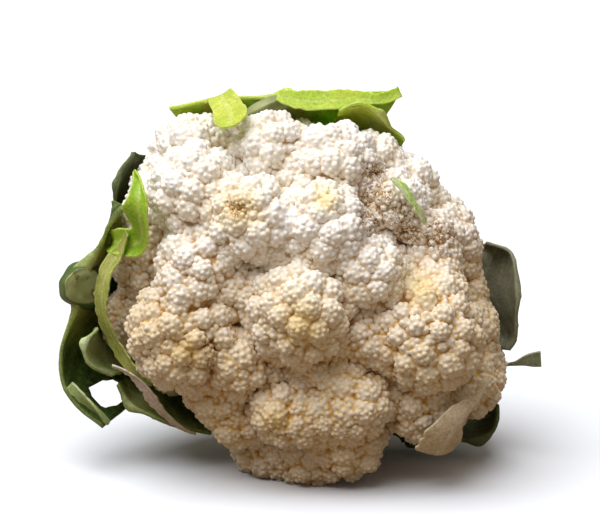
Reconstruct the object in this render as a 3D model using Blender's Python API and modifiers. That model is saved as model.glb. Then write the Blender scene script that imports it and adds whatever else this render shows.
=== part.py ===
"""A trimmed cauliflower lying on its side, crown towards -Y, with its cut stalk and leaf butts behind.

The head is described in its own frame, in metres: across (+X), up and out, where out runs along the
stalk's axis from the cut end to the crown. place() turns that frame into the world, with the crown
raised a little, because the head rests on its lowest floret and on the leaves behind it.
"""

import math
from collections import namedtuple

import bmesh
import bpy
import numpy as np
from mathutils import Vector

MM = 0.001
GOLDEN_ANGLE = math.pi * (3 - math.sqrt(5))

# The head's place: its centre stands this high, and its crown is raised by the tilt.
TILT = math.radians(12)
CENTRE = Vector((1.52, -10.37, 75.0)) * MM

# The curd: a dome of floret heads, on stems that all meet at the root point behind the crown.
DOME_DEPTH = 40 * MM
DOME_LONG, DOME_SHORT = 78 * MM, 60 * MM
DOME_TURN = math.radians(131)
ROOT_OUT = -58 * MM
STAR_OUT = -12 * MM
CURD_BACK = -50 * MM

# The curd's skin is a cube of this many cells a side, blown out, with more of them towards the crown.
CURD_CELLS = 30
CROWDING = 1.18

# Floret heads as seen from the crown: across, up, out beyond the dome, radius, in millimetres.
CROWN_FLORETS = (
    (-2, -8, 2, 22.5),
    (-46, 43, 4, 20),
    (-46, 60, -4, 15),
    (-14, 61, 0, 15.5),
    (13, 54, 2, 18),
    (-23, 31, 5, 19),
    (8, 28, 4, 19),
    (36, 37, 2, 14.5),
    (42, 43, -4, 14),
    (53, 21, 2, 13.5),
    (59, 20, -8, 14),
    (27, 9, 3, 15.5),
    (53, 4, 0, 13),
    (-44, 11, 2, 18),
    (-49, -16, 5, 25),
    (-27, -29, 2, 14),
    (51, -18, 6, 23.5),
    (26, -18, -2, 12.5),
    (-8, -49, 3, 14.5),
    (5, -51, 4, 12),
    (22, -46, 3, 14.5),
    (-14, -63.5, -4, 16),
    (2, -66.5, -3, 15),
    (18, -61.5, -4, 16),
    (71, -15, -8, 13),
    (68, -38, -4, 14.5),
    (-36, -38, -4, 16),
    (49, -45, -2, 17),
    (-71, -12, -14, 13),
    (9, -34, -2, 11),
    (28, 54, -6, 13),
    (-62, 32, -10, 14),
    (-65, 12, -12, 14.5),
)

# Floret heads round the rim behind the crown: turn in degrees and how far the outline reaches there.
RIM_FLORETS = (
    (5, 82), (28, 78), (50, 74), (72, 74), (92, 75), (112, 82), (130, 92), (147, 85), (166, 79),
    (186, 84), (207, 78), (230, 68), (253, 68), (276, 68), (298, 71), (318, 88), (336, 93), (352, 88),
)
RIM_RADIUS = 15 * MM
RIM_OUT = -14 * MM

# The crown was measured as it looks from this far in front, so what is nearer is drawn in a little.
VIEW_DISTANCE = 900 * MM

# Stems that carry the florets: count, ring, out, radius. The heart fills what is left between them.
STEM_RINGS = ((10, 44, -28, 20), (6, 22, -36, 19))
HEART_RADIUS = 46 * MM

# Sub-heads on every floret, in a golden-angle spiral over its cap.
BUD_RADIUS = 6.6 * MM
BUD_CAP = math.radians(112)
BUD_RISE = 0.62
CORE_SHARE = 0.86

# The stalk's profile from the cut end to the curd: out, radius, in millimetres.
STALK_PROFILE = ((-84, 0), (-84, 19.5), (-82.5, 21), (-74, 20.5), (-62, 19), (-54, 20), (-50.6, 24), (-50.6, 0))
STALK_STEPS = 28

# The shell the leaves follow, from the stalk round behind the curd to its rim: knots of a curve, each
# a share of the rim's reach, a distance added to it, and how far out. Each leaf lies some lift over it.
SHELL_KNOTS = ((0.0, 21.6, -56.0), (0.55, 0.0, -60.0), (1.0, 2.0, -46.0), (1.0, 4.0, -8.0))
SHELL_LIFT = ((0.1, -1.0), (0.3, -1.0), (1.0, -0.6), (1.0, 0.0))
SHELL_STEPS = (120, 26)
LEAF_GAP = 0.9
CURD_GAP = 0.8
CLEAR_CONES = (0.04, 0.085)
CLEAR_RAYS = 8
RIB_CROWDING = 1.25
RIB_HALF, RIB_TAPER = 0.3, 0.33
LIFT_SPREAD, LIFT_PASSES = 3, 4
FLARE_START, FLARE_POWER = 0.5, 1.3
WAVE_ALONG, WAVE_ACROSS = 9, 4
BASE_HALF = 9.5
LEAF_ROWS, LEAF_COLUMNS = 11, 10
BRACT_ROWS, BRACT_COLUMNS = 8, 4

Leaf = namedtuple("Leaf", "name, rib_turn, rib_at, rib, rib_end, blade, wave, end")
Bract = namedtuple("Bract", "name, thick, cup, path")

# The leaves, outermost and oldest last. The rib's turn round the axis at the stalk (degrees), where it
# lies across the blade (-1 to 1), its thickness at the stalk and the share left at the cut end, the
# blade's thickness, the wave of its edge, then stations along the cut end: turn, ring and out.
LEAVES = (
    Leaf("leaf_lobe", 114, 0.0, 2.4, 0.5, 1.0, 0.3,
         ((106.5, 78, 12), (109, 75.5, 18), (112.5, 74.5, 20), (116, 76, 17), (118.5, 79, 12))),
    Leaf("leaf_lower_right", 342, 0.2, 4.5, 0.5, 1.0, 0.6,
         ((337, 92, -32), (339.5, 96, -30), (342, 104, -26), (343.7, 100, -27), (345, 95, -30))),
    Leaf("leaf_lower_left", 201, -0.3, 7.0, 0.95, 1.2, 0.8,
         ((189, 87, 0), (192.5, 87, 3), (196, 88, 2), (200, 87, -2), (204.5, 86, -6))),
    Leaf("leaf_top_right", 66, 0.0, 5.5, 0.6, 1.1, 1.2,
         ((57, 76, -6), (61, 77, -4), (67, 79, 2), (73, 81, 6), (79, 77.5, 9))),
    Leaf("leaf_bottom", 278, 0.0, 6.5, 0.6, 1.3, 0.6,
         ((257, 73, -36), (266, 74, -31), (275, 74, -28), (285, 75, -31), (295, 75, -36))),
    Leaf("leaf_upper_left", 149, 0.0, 6.5, 0.7, 1.2, 0.8,
         ((156, 89, -10), (152, 88, -6), (148, 89, -4), (144, 93, -4), (139, 93, -8))),
    Leaf("leaf_right", 6, 0.1, 7.5, 0.8, 1.3, 1.3,
         ((-10, 92, -26), (-4, 88, -24), (3, 86, -22), (9, 86, -24), (16, 83, -28))),
    Leaf("leaf_low_left", 219, -0.45, 7.5, 0.7, 1.3, 1.4,
         ((208.5, 87, -6), (214, 86, -8), (220, 81, -6), (228, 76.5, -6), (236, 72, -12))),
    Leaf("leaf_top", 99, 0.2, 9.0, 0.65, 1.2, 1.4,
         ((66, 90, -2), (78, 84.5, 0), (90, 81, 0), (97, 79, -4), (105, 85.5, -10), (115, 90.5, -14), (125, 97, -18))),
    Leaf("leaf_low_right", 320, 0.1, 8.0, 0.8, 1.4, 0.9,
         ((304, 79, -26), (312, 85, -22), (319, 90, -20), (325, 93, -20), (331, 91, -24))),
    Leaf("leaf_left", 182, 0.33, 10.5, 1.2, 1.3, 1.3,
         ((213, 101, -2), (205, 107, -2), (196, 103, 0), (186, 94, 3), (177, 92, 5), (168, 90, 6), (161, 90, 6))),
)

# Small leaves that lie on the curd: thickness, cup, then stations along the middle: across, up, out,
# half width and roll in degrees.
BRACTS = (
    Bract("bract_torn", 0.9, 1.0,
          ((41, 23, 34, 3.0, 0), (39.5, 31, 33, 5.0, 10), (37, 38, 33, 4.0, 25), (34.5, 45, 34, 1.6, 30))),
    Bract("bract_pale", 0.9, 0.5,
          ((50, -64, -17, 6.5, 0), (53, -59, -4, 7.5, 0), (60, -50, 8, 5.0, 8), (67, -39, 12, 2.4, 14),
           (70, -33, 13, 1.0, 16))),
    Bract("leaf_flap", 1.0, 1.6,
          ((-75, 30, -6, 2.5, 0), (-77, 30, 6, 5.0, 20), (-72, 31, 20, 8.0, 70), (-69, 40, 24, 4.5, 80),
           (-67.5, 48, 24, 1.2, 80))),
)


def clear_scene():
    for obj in list(bpy.data.objects):
        bpy.data.objects.remove(obj)


def place(points):
    """Head-frame points (across, up, out) as world points."""
    up = np.array((0.0, math.sin(TILT), math.cos(TILT)))
    out = np.array((0.0, -math.cos(TILT), math.sin(TILT)))
    across = np.array((1.0, 0.0, 0.0))
    return points[..., :1] * across + points[..., 1:2] * up + points[..., 2:3] * out + np.array(CENTRE)


def dome_out(across, up):
    """How far out the floret centres lie, over a dome whose long side is turned."""
    along = across * math.cos(DOME_TURN) + up * math.sin(DOME_TURN)
    beside = up * math.cos(DOME_TURN) - across * math.sin(DOME_TURN)
    share = (along / DOME_LONG) ** 2 + (beside / DOME_SHORT) ** 2
    return DOME_DEPTH * math.sqrt(max(0.0, 1 - share))


def florets():
    """(centre, radius) of each floret head, in the head's frame."""
    found = []
    for across, up, nudge, radius in CROWN_FLORETS:
        out = dome_out(across * MM, up * MM) + nudge * MM
        near = 1 - out / VIEW_DISTANCE
        found.append((Vector((across * MM * near, up * MM * near, out)), radius * MM * near))
    for i, (turn, reach) in enumerate(RIM_FLORETS):
        angle = math.radians(turn)
        ring = reach * MM - RIM_RADIUS - 1.5 * MM
        out = RIM_OUT + 3 * MM * math.sin(3 * i)
        found.append((Vector((ring * math.cos(angle), ring * math.sin(angle), out)), RIM_RADIUS))
    return found


def rim_reach(heads):
    """A function of azimuth: how far the convex outline of the heads reaches from the stalk's axis."""
    turns = np.linspace(0, 2 * math.pi, 181)[:-1]
    support = np.max(
        [c.x * np.cos(turns) + c.y * np.sin(turns) + r for c, r in heads], axis=0
    )

    def reach(angles):
        lean = np.cos(angles[..., None] - turns)
        return np.min(np.where(lean > 0.2, support / np.maximum(lean, 0.2), 1.0), axis=-1)

    return reach


def spiral_over_cap(axis, count, cap, phase):
    """Unit directions spread evenly by the golden angle over a cap round the axis."""
    turn = Vector((0, 0, 1)).rotation_difference(axis).to_matrix()
    directions = []
    for k in range(count):
        tip = (1 - math.cos(cap)) * (k + 0.5) / count
        polar = math.acos(1 - tip)
        azimuth = k * GOLDEN_ANGLE + phase
        flat = math.sin(polar)
        directions.append(turn @ Vector((flat * math.cos(azimuth), flat * math.sin(azimuth), math.cos(polar))))
    return directions


def curd_balls():
    """Centres and radii of every ball whose joined outside is the curd."""
    balls = [(Vector((0, 0, STAR_OUT)), HEART_RADIUS)]
    root = Vector((0, 0, ROOT_OUT))
    for i, (centre, radius) in enumerate(florets()):
        balls.append((centre, radius * CORE_SHARE))
        axis = (centre - root).normalized()
        cap_area = 2 * (1 - math.cos(BUD_CAP)) * radius**2
        count = round(0.92 * cap_area / BUD_RADIUS**2)
        for k, direction in enumerate(spiral_over_cap(axis, count, BUD_CAP, 0.7 * i)):
            size = BUD_RADIUS * (0.9 + 0.16 * math.sin(2.3 * k + i))
            balls.append((centre + direction * (radius - size * BUD_RISE), size))
    for count, ring, out, radius in STEM_RINGS:
        for k in range(count):
            angle = 2 * math.pi * k / count
            spot = Vector((ring * math.cos(angle), ring * math.sin(angle), out)) * MM
            balls.append((spot, radius * MM))
    return balls


def star_reach(directions, balls, star):
    """How far the joined balls reach from the star point, along each direction."""
    centres = np.array([c for c, _ in balls]) - star
    radii = np.array([r for _, r in balls])
    along = directions @ centres.T
    inside = radii**2 - (centres**2).sum(axis=1) + along**2
    return np.where(inside > 0, along + np.sqrt(np.maximum(inside, 0)), 0).max(axis=1)


def make_object(name, mesh, material):
    for polygon in mesh.polygons:
        polygon.use_smooth = True
    mesh.materials.append(material)
    obj = bpy.data.objects.new(name, mesh)
    bpy.data.collections["cauliflower"].objects.link(obj)
    return obj


def mesh_from(bm, name):
    bmesh.ops.recalc_face_normals(bm, faces=bm.faces)
    mesh = bpy.data.meshes.new(name)
    bm.to_mesh(mesh)
    bm.free()
    return mesh


def make_curd(material):
    """A finely divided cube blown out to the joined balls, flat where the stalk and the table meet it."""
    bm = bmesh.new()
    bmesh.ops.create_cube(bm, size=2)
    bmesh.ops.subdivide_edges(bm, edges=bm.edges, cuts=CURD_CELLS - 1, use_grid_fill=True)
    cube = np.array([v.co for v in bm.verts])
    spread = np.tan(cube * math.pi / 4)
    directions = spread / np.linalg.norm(spread, axis=1, keepdims=True)
    polar = math.pi * (np.arccos(np.clip(directions[:, 2], -1, 1)) / math.pi) ** CROWDING
    azimuth = np.arctan2(directions[:, 1], directions[:, 0])
    directions = np.stack(
        (np.sin(polar) * np.cos(azimuth), np.sin(polar) * np.sin(azimuth), np.cos(polar)), axis=1
    )
    star = np.array((0.0, 0.0, STAR_OUT))
    reach = star_reach(directions, curd_balls(), star)
    backward = np.maximum(-directions[:, 2], 1e-6)
    reach = np.minimum(reach, (STAR_OUT - CURD_BACK) / backward)
    world = place(star + directions * reach[:, None])
    world[:, 2] = np.maximum(world[:, 2], 0)
    for vert, spot in zip(bm.verts, world):
        vert.co = spot
    bmesh.ops.triangulate(bm, faces=bm.faces)
    return make_object("curd", mesh_from(bm, "curd"), material)


def make_stalk(material):
    """The cut stalk, turned from its profile and set face to face with the curd's flat back."""
    bm = bmesh.new()
    verts = [bm.verts.new((radius * MM, 0, out * MM)) for out, radius in STALK_PROFILE]
    edges = [bm.edges.new(pair) for pair in zip(verts, verts[1:])]
    bmesh.ops.spin(
        bm, geom=verts + edges, axis=(0, 0, 1), cent=(0, 0, 0), angle=2 * math.pi,
        steps=STALK_STEPS, use_merge=True,
    )
    bmesh.ops.remove_doubles(bm, verts=bm.verts, dist=0.01 * MM)
    spots = np.array([v.co for v in bm.verts])
    turn = np.arctan2(spots[:, 1], spots[:, 0])
    spots[:, :2] *= (1 + 0.035 * np.sin(2 * turn + 0.6) + 0.02 * np.sin(5 * turn))[:, None]
    for vert, spot in zip(bm.verts, place(spots)):
        vert.co = spot
    bmesh.ops.triangulate(bm, faces=bm.faces)
    return make_object("stalk", mesh_from(bm, "stalk"), material)


def smooth_step(x):
    x = np.clip(x, 0, 1)
    return x * x * (3 - 2 * x)


def spline(values, at):
    """A smooth curve through evenly spaced values, read at places from 0 to 1."""
    values = np.asarray(values, dtype=float)
    last = len(values) - 1
    place_on = np.clip(at, 0, 1) * last
    index = np.minimum(place_on.astype(int), last - 1)
    share = (place_on - index)[..., None]
    padded = np.concatenate((2 * values[:1] - values[1:2], values, 2 * values[-1:] - values[-2:-1]))
    p0, p1, p2, p3 = (padded[index + i] for i in range(4))
    slope_in, slope_out = (p2 - p0) / 2, (p3 - p1) / 2
    square, cube = share**2, share**3
    return (
        (2 * cube - 3 * square + 1) * p1 + (cube - 2 * square + share) * slope_in
        + (3 * square - 2 * cube) * p2 + (cube - square) * slope_out
    )


def shell(turn, along, lift, edge):
    """Ring and out, in millimetres, of the shell that lies the given lift over the bare one."""
    reach = edge(turn) / MM
    weights = ((1 - along) ** 3, 3 * along * (1 - along) ** 2, 3 * along**2 * (1 - along), along**3)
    ring, out = 0.0, 0.0
    for weight, (share, extra, back), (wider, deeper) in zip(weights, SHELL_KNOTS, SHELL_LIFT):
        ring = ring + weight * (share * reach + extra + wider * lift)
        out = out + weight * (back + deeper * lift)
    return ring, out


def clear_of_curd(points, balls, gap):
    """Head-frame points moved straight away from the star point until they and what is near clear the curd."""
    star = np.array((0.0, 0.0, STAR_OUT))
    offset = points - star
    distance = np.linalg.norm(offset, axis=1)
    directions = offset / distance[:, None]
    wanted = star_reach(directions, balls, star)
    beside = np.cross(directions, np.array((0.31, 0.95, 0.0)))
    beside /= np.linalg.norm(beside, axis=1, keepdims=True)
    above = np.cross(directions, beside)
    for cone in CLEAR_CONES:
        for k in range(CLEAR_RAYS):
            angle = 2 * math.pi * k / CLEAR_RAYS
            leaning = directions + cone * (beside * math.cos(angle) + above * math.sin(angle))
            leaning /= np.linalg.norm(leaning, axis=1, keepdims=True)
            wanted = np.maximum(wanted, star_reach(leaning, balls, star))
    return star + directions * np.maximum(distance, wanted + gap)[:, None]


class Cover:
    """How much lift the leaves placed so far take up, over turns round the axis and places along the shell."""

    def __init__(self):
        self.turns, self.steps = SHELL_STEPS
        self.height = np.zeros(SHELL_STEPS)

    def cells(self, turn, along):
        columns = np.round(turn / (2 * math.pi) * self.turns).astype(int) % self.turns
        rows = np.clip(np.round(along * (self.steps - 1)), 0, self.steps - 1).astype(int)
        return columns, rows

    def lift_at(self, turn, along, spread):
        """The most lift taken up within a few cells of each place."""
        columns, rows = self.cells(turn, along)
        most = np.zeros_like(turn)
        for across in range(-spread, spread + 1):
            for ahead in range(-1, 2):
                near = np.clip(rows + ahead, 0, self.steps - 1)
                most = np.maximum(most, self.height[(columns + across) % self.turns, near])
        return most

    def add(self, turn, along, top):
        columns, rows = self.cells(turn, along)
        for across in range(-1, 2):
            for ahead in (0, 1):
                near = np.clip(rows + ahead, 0, self.steps - 1)
                np.maximum.at(self.height, ((columns + across) % self.turns, near), top)


def smoothed(values, rows, columns, passes):
    """A grid of values averaged with their neighbours, never sinking under the values given."""
    given = values.reshape(columns, rows)
    grid = given.copy()
    for _ in range(passes):
        padded = np.pad(grid, 1, mode="edge")
        grid = (padded[:-2, 1:-1] + padded[2:, 1:-1] + padded[1:-1, :-2] + padded[1:-1, 2:] + 4 * grid) / 8
        grid = np.maximum(grid, given)
    return grid.reshape(-1)


def rib_thickness(leaf, s, t):
    """Millimetres of leaf at each place: thick on the rib, thin out on the blade."""
    rib_half = RIB_HALF * (1 - RIB_TAPER * s)
    ridge = np.exp(-(((t - leaf.rib_at * s) / rib_half) ** 2))
    rib = leaf.rib * (1 + (leaf.rib_end - 1) * s)
    return leaf.blade + (rib - leaf.blade) * ridge


def leaf_points(leaf, s, t, edge, cover):
    """Inner face of a leaf in the head's frame: s runs from the stalk to the cut end, t across it."""
    ends = spline(leaf.end, (t + 1) / 2)
    end_turn = np.radians(ends[:, 0])
    rising = 1 if leaf.end[-1][0] > leaf.end[0][0] else -1
    base_turn = math.radians(leaf.rib_turn) + rising * t * BASE_HALF / SHELL_KNOTS[0][1]
    spread = 0.75 * smooth_step(1.1 * s) + 0.25 * s
    turn = base_turn + (end_turn - base_turn) * spread
    grid = LEAF_ROWS + 1, LEAF_COLUMNS + 1
    thick = rib_thickness(leaf, s, t)
    lift = smoothed(cover.lift_at(turn, s, LIFT_SPREAD), grid[0], grid[1], LIFT_PASSES) + LEAF_GAP
    cover.add(turn, s, lift + thick)
    flare = smooth_step((s - FLARE_START) / (1 - FLARE_START)) ** FLARE_POWER
    wave = leaf.wave * flare * np.abs(t) ** 1.5 * np.sin(WAVE_ALONG * s + WAVE_ACROSS * t + leaf.rib_turn)
    shell_ring, shell_out = shell(turn, s, lift * (1 - flare), edge)
    rim_ring, rim_out = shell(end_turn, np.ones_like(s), np.zeros_like(s), edge)
    ring = shell_ring + flare * (ends[:, 1] - rim_ring) + wave
    out = shell_out + flare * (ends[:, 2] - rim_out)
    points = np.stack((ring * np.cos(turn), ring * np.sin(turn), out), axis=1) * MM
    return points, thick


def leaf_grid(rows, columns):
    """A flat grid with its s and t: rows of cells from the stalk outwards, columns across."""
    bm = bmesh.new()
    bmesh.ops.create_grid(bm, x_segments=rows, y_segments=columns, size=1)
    flat = np.array([v.co for v in bm.verts])
    return bm, (flat[:, 0] + 1) / 2, np.sign(flat[:, 1]) * np.abs(flat[:, 1]) ** RIB_CROWDING


def make_blade(name, bm, world, thick, offset, material):
    """Turns a placed grid into one closed leaf of the given thickness at each vertex."""
    for vert, spot in zip(bm.verts, world):
        vert.co = spot
    bmesh.ops.triangulate(bm, faces=bm.faces)
    bm.normal_update()
    middle = Vector(place(np.array((0.0, 0.0, STAR_OUT))))
    outward = sum((face.calc_center_median() - middle).dot(face.normal) for face in bm.faces)
    if outward < 0:
        bmesh.ops.reverse_faces(bm, faces=bm.faces)
    mesh = bpy.data.meshes.new(name)
    bm.to_mesh(mesh)
    bm.free()
    obj = make_object(name, mesh, material)
    group = obj.vertex_groups.new(name="thickness")
    for index, weight in enumerate(thick / thick.max()):
        group.add([index], float(weight), "REPLACE")
    solidify = obj.modifiers.new("blade", "SOLIDIFY")
    solidify.thickness = float(thick.max()) * MM
    solidify.offset = offset
    solidify.vertex_group = group.name
    solidify.thickness_vertex_group = 0
    return obj


def make_leaf(leaf, edge, cover, balls, material):
    """A trimmed leaf: a thick rib and a waved blade, wrapped round the back of the head."""
    bm, s, t = leaf_grid(LEAF_ROWS, LEAF_COLUMNS)
    points, thick = leaf_points(leaf, s, t, edge, cover)
    points = clear_of_curd(points, balls, CURD_GAP * MM)
    world = place(points)
    world[:, 2] = np.maximum(world[:, 2], thick * MM)
    return make_blade(leaf.name, bm, world, thick, 1, material)


def make_bract(bract, balls, material):
    """A small leaf laid over the curd along its path, turned about the path by its roll."""
    bm, s, t = leaf_grid(BRACT_ROWS, BRACT_COLUMNS)
    path = spline(bract.path, s)
    step = 0.01
    tangent = (spline(bract.path, s + step) - spline(bract.path, s - step))[:, :3]
    tangent /= np.linalg.norm(tangent, axis=1, keepdims=True)
    outward = path[:, :3] - np.array((0.0, 0.0, STAR_OUT / MM))
    side = np.cross(tangent, outward)
    side /= np.linalg.norm(side, axis=1, keepdims=True)
    lifted = np.cross(side, tangent)
    roll = np.radians(path[:, 4])[:, None]
    reach = (t * path[:, 3])[:, None]
    cup = (bract.cup * t**2)[:, None]
    points = path[:, :3] + reach * (side * np.cos(roll) + lifted * np.sin(roll)) + cup * lifted
    points = clear_of_curd(points * MM, balls, CURD_GAP * MM)
    return make_blade(bract.name, bm, place(points), np.full_like(s, bract.thick), 0, material)


def make_material(name, colour, roughness):
    material = bpy.data.materials.new(name)
    material.use_nodes = True
    shader = material.node_tree.nodes["Principled BSDF"]
    shader.inputs["Base Color"].default_value = (*colour, 1)
    shader.inputs["Roughness"].default_value = roughness
    shader.inputs["Metallic"].default_value = 0
    return material


def main():
    clear_scene()
    collection = bpy.data.collections.new("cauliflower")
    bpy.context.scene.collection.children.link(collection)
    make_curd(make_material("curd", (0.84, 0.76, 0.60), 0.55))
    make_stalk(make_material("stalk", (0.62, 0.66, 0.40), 0.5))
    balls = curd_balls()
    edge = rim_reach(florets())
    cover = Cover()
    green = make_material("leaf", (0.16, 0.27, 0.06), 0.45)
    pale = make_material("pale leaf", (0.62, 0.58, 0.42), 0.5)
    for leaf in LEAVES:
        make_leaf(leaf, edge, cover, balls, green)
    for bract in BRACTS:
        make_bract(bract, balls, pale if bract.name == "bract_pale" else green)


main()
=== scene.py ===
"""The looks of a trimmed cauliflower that lies on its side, crown towards -Y.

The curd is grown again in four sizes of ball (florets, buds, beads and granules), the leaves are the
frame's leaves with veins, thick ribs and torn edges, and the stalk shows its cut. Places are in the
head's own frame, across, up and out, in millimetres, until place() turns them into the world.
"""

import math
from collections import namedtuple

import bmesh
import bpy
import numpy as np
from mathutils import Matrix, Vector
from mathutils.kdtree import KDTree


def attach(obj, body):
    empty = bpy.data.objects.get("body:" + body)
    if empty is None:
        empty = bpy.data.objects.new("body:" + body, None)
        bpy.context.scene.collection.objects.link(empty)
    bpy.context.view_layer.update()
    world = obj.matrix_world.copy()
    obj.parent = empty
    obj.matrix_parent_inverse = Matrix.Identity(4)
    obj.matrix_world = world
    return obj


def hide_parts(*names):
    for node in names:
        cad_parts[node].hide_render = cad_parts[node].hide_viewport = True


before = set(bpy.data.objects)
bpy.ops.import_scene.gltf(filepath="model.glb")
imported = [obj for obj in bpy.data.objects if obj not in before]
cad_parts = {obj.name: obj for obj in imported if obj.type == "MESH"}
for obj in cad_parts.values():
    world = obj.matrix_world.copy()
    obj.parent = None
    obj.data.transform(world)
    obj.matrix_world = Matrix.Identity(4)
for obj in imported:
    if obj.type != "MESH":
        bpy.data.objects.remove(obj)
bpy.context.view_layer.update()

MM = 0.001
GOLDEN_ANGLE = math.pi * (3 - math.sqrt(5))
SEED = 7

# The head's place in the frame
TILT = math.radians(12)
CENTRE = np.array((1.52, -10.37, 75.0))
ACROSS = np.array((1.0, 0.0, 0.0))
UP = np.array((0.0, math.sin(TILT), math.cos(TILT)))
OUT = np.array((0.0, -math.cos(TILT), math.sin(TILT)))

# The curd: floret heads over a dome, on stems that meet at the root behind it
DOME_DEPTH = 40
DOME_LONG, DOME_SHORT = 78, 60
DOME_TURN = math.radians(131)
ROOT = np.array((0.0, 0.0, -58.0))
STAR = np.array((0.0, 0.0, -12.0))
CURD_BACK = -50
VIEW_DISTANCE = 900

# Floret heads as seen from the crown: across, up, out beyond the dome, radius; the last four fill
# gaps between the others
CROWN_FLORETS = (
    (-2, -8, 2, 22.5), (-46, 43, 4, 20), (-46, 60, -4, 15), (-14, 61, 0, 15.5), (13, 54, 2, 18),
    (-23, 31, 5, 19), (8, 28, 4, 19), (36, 37, 2, 14.5), (42, 43, -4, 14), (53, 21, 2, 13.5),
    (59, 20, -8, 14), (27, 9, 3, 15.5), (53, 4, 0, 13), (-44, 11, 2, 18), (-49, -16, 5, 25),
    (-27, -29, 2, 14), (51, -18, 6, 23.5), (26, -18, -2, 12.5), (-8, -49, 3, 14.5), (5, -51, 4, 12),
    (22, -46, 3, 14.5), (-14, -63.5, -4, 16), (2, -66.5, -3, 15), (18, -61.5, -4, 16),
    (68, -18, -8, 12.5), (68, -38, -4, 14.5), (-36, -38, -4, 16), (49, -45, -2, 17), (-71, -12, -14, 13),
    (9, -34, -2, 11), (28, 54, -6, 13), (-62, 32, -10, 14), (-65, 12, -12, 14.5), (-27, -50, -2, 14),
    (-26, 2, -4, 12.5), (-8, 15, -4, 11), (-4, 45, -5, 11),
)

# Floret heads round the rim: turn in degrees, and how far the outline reaches there
RIM_FLORETS = (
    (5, 78), (28, 78), (50, 74), (72, 74), (92, 75), (112, 82), (130, 95), (145, 89), (166, 79),
    (186, 84), (207, 78), (230, 68), (253, 68), (276, 68), (298, 71), (318, 88), (336, 93), (353, 81),
)
RIM_RADIUS, RIM_OUT = 15, -14

# Stems under the florets: count, ring, out, radius; the heart fills what is left between them
STEM_RINGS = ((10, 44, -28, 20), (6, 22, -36, 19))
HEART_RADIUS = 46

# Buds on a floret, beads on a bud, granules on a bead
BUD_RADIUS, BUD_CAP, BUD_RISE, BUD_CORE = 6.6, math.radians(112), 0.62, 0.84
BUD_CROWDING = 1.25
BEAD_RADIUS, BEAD_COUNT, BEAD_CAP, BEAD_SET_BACK = 2.3, 14, math.radians(108), 0.75
GRANULE_RADIUS, GRANULE_COUNT, GRANULE_CAP, GRANULE_RISE = 1.26, 20, math.radians(112), 0.68
GRANULE_SPACING = 0.79
BUD_GRANULES = 90
GROUND_BEAD, GROUND_SHARE = 21, 0.9
CORE_SHARE = 0.86
BUD_OUTSIDE = 2.3
APEX_ANGLE, APEX_FINENESS = math.radians(42), 0.72
VOXEL = 0.5
EASE = 0.35
STEM_VOXEL = 1.4
BRANCH_STEPS, BRANCH_RADIUS = 14, 8.5
SECTORS, MIDDLE_RING = 11, 34
HIDDEN_SHARE = 0.86

# How near another floret has to be to hide anything, and how much of it hides buds, beads and granules
NEAR_FLORET = 8
HIDES_BUDS, HIDES_BEADS, HIDES_GRANULES = 0.93, 0.95, 0.96

# How unevenly buds, ground beads and all that grows on them point
BUD_TILT, GROUND_TILT, GROWN_TILT = 0.06, 0.035, 0.08

# Small florets that fill the saddle between two neighbours: how near those must be, radius, set back
SADDLE_NEAR, SADDLE_RADIUS, SADDLE_BACK = 8, 12.5, 2.6

# The stalk's profile from the cut end to the curd: out, radius
STALK_PROFILE = (
    (-84, 0), (-84, 3), (-84.3, 8), (-83.8, 13), (-84, 19.2), (-82.8, 20.9), (-78, 20.9), (-74, 20.5),
    (-68, 19.6), (-62, 19), (-54, 20), (-50.6, 24), (-50.6, 0),
)
STALK_STEPS = 96

# The shell that the leaves follow from the stalk round behind the curd to its rim
SHELL_KNOTS = ((0.0, 21.6, -56.0), (0.55, 0.0, -60.0), (1.0, 2.0, -46.0), (1.0, 4.0, -8.0))
SHELL_LIFT = ((0.1, -1.0), (0.3, -1.0), (1.0, -0.6), (1.0, 0.0))
SHELL_STEPS = (120, 26)
LEAF_GAP, CURD_GAP = 0.9, 0.8
CLEAR_CONES, CLEAR_RAYS = (0.04, 0.085), 8
RIB_CROWDING, RIB_HALF, RIB_TAPER = 1.25, 0.3, 0.33
LIFT_SPREAD, LIFT_PASSES = 3, 4
FLARE_START, FLARE_POWER = 0.5, 1.3
WAVE_ALONG, WAVE_ACROSS = 9, 4
BASE_HALF = 9.5
LEAF_ROWS, LEAF_COLUMNS, LEAF_FINENESS = 11, 10, 6
BRACT_ROWS, BRACT_COLUMNS, BRACT_FINENESS = 8, 4, 8
NOTCH_STEP = 1.6

Leaf = namedtuple("Leaf", "name, look, rib_turn, rib_at, rib, rib_end, blade, wave, end")
Bract = namedtuple("Bract", "name, node, look, thick, cup, ragged, path")
Butt = namedtuple("Butt", "name, node, look, middle, half, lean, slant, facing, cut")

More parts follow.
